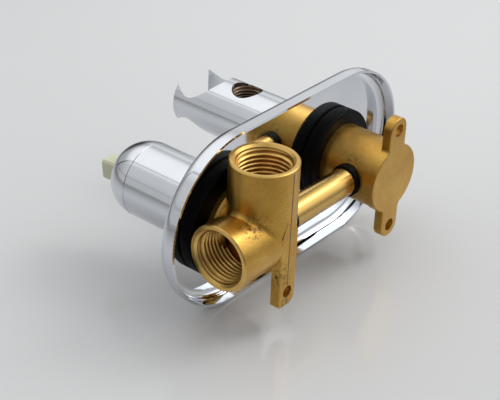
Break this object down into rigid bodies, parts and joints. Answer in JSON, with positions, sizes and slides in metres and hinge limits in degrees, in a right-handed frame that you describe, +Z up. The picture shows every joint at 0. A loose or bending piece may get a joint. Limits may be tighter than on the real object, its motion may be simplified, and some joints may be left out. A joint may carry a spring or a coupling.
{
  "type": "bidet shower mixer",
  "caption": "In-wall mixer for a bidet shower: chrome cover plate, brass inlet and outlet castings joined by a pipe, a lever cartridge under a domed cover and a forked shower holder.",
  "frame": {"origin": "on the wall face of the outlet column's flange, midway between its two ear holes", "axes": "+Y into the wall, +X from the outlet column to the mixer, +Z up as the picture shows it; on a wall it is turned half round about Y, so that the hose outlet points down"},
  "size_m": [0.138, 0.106, 0.072],
  "materials": {
    "chrome": "polished plate",
    "cast_brass": "satin casting",
    "pipe_brass": "drawn and polished",
    "nut_brass": "turned",
    "black_rubber": "moulded",
    "cartridge_plastic": "moulded",
    "disc_ceramic": "lapped",
    "pin_steel": "ground",
    "stem_plastic": "moulded"
  },
  "bodies": {
    "fitting": {"cover_plate": "chrome", "cartridge_cover": "chrome", "shower_holder": "chrome", "mixer_body": "cast_brass", "outlet_body": "cast_brass", "crossover_pipe": "pipe_brass", "cartridge_nut": "nut_brass", "pipe_seal_outlet": "black_rubber", "pipe_seal_mixer": "black_rubber", "wall_seal_mixer": "black_rubber", "wall_seal_outlet": "black_rubber", "cover_o_ring": "black_rubber", "base_gaskets": "black_rubber", "disc_seals": "black_rubber", "holder_gasket": "black_rubber", "cartridge_shell": "cartridge_plastic", "cartridge_base": "cartridge_plastic", "glide_ring": "cartridge_plastic", "fixed_disc": "disc_ceramic"},
    "guide": {"stem_guide": "cartridge_plastic", "lever_pin": "pin_steel"},
    "lever": {"lever_stem": "stem_plastic"},
    "slider": {"disc_carrier": "cartridge_plastic", "moving_disc": "disc_ceramic"}
  },
  "joints": [
    {"name": "temperature_turn", "type": "hinge", "parent": "fitting", "child": "guide", "pos_m": [0.067, -0.06742, 0], "axis": [0, -1, 0], "range_deg": [-45, 45]},
    {"name": "flow_tilt", "type": "hinge", "parent": "guide", "child": "lever", "pos_m": [0.067, -0.06742, 0], "axis": [1, 0, 0], "range_deg": [-18, 6]},
    {"name": "disc_slide", "type": "slide", "parent": "guide", "child": "slider", "axis": [0, 0, 1], "range_m": [-0.00284, 0.00096]}
  ],
  "couplings": [
    {"joint": "disc_slide", "follows": "flow_tilt", "m_per_rad": 0.009}
  ]
}
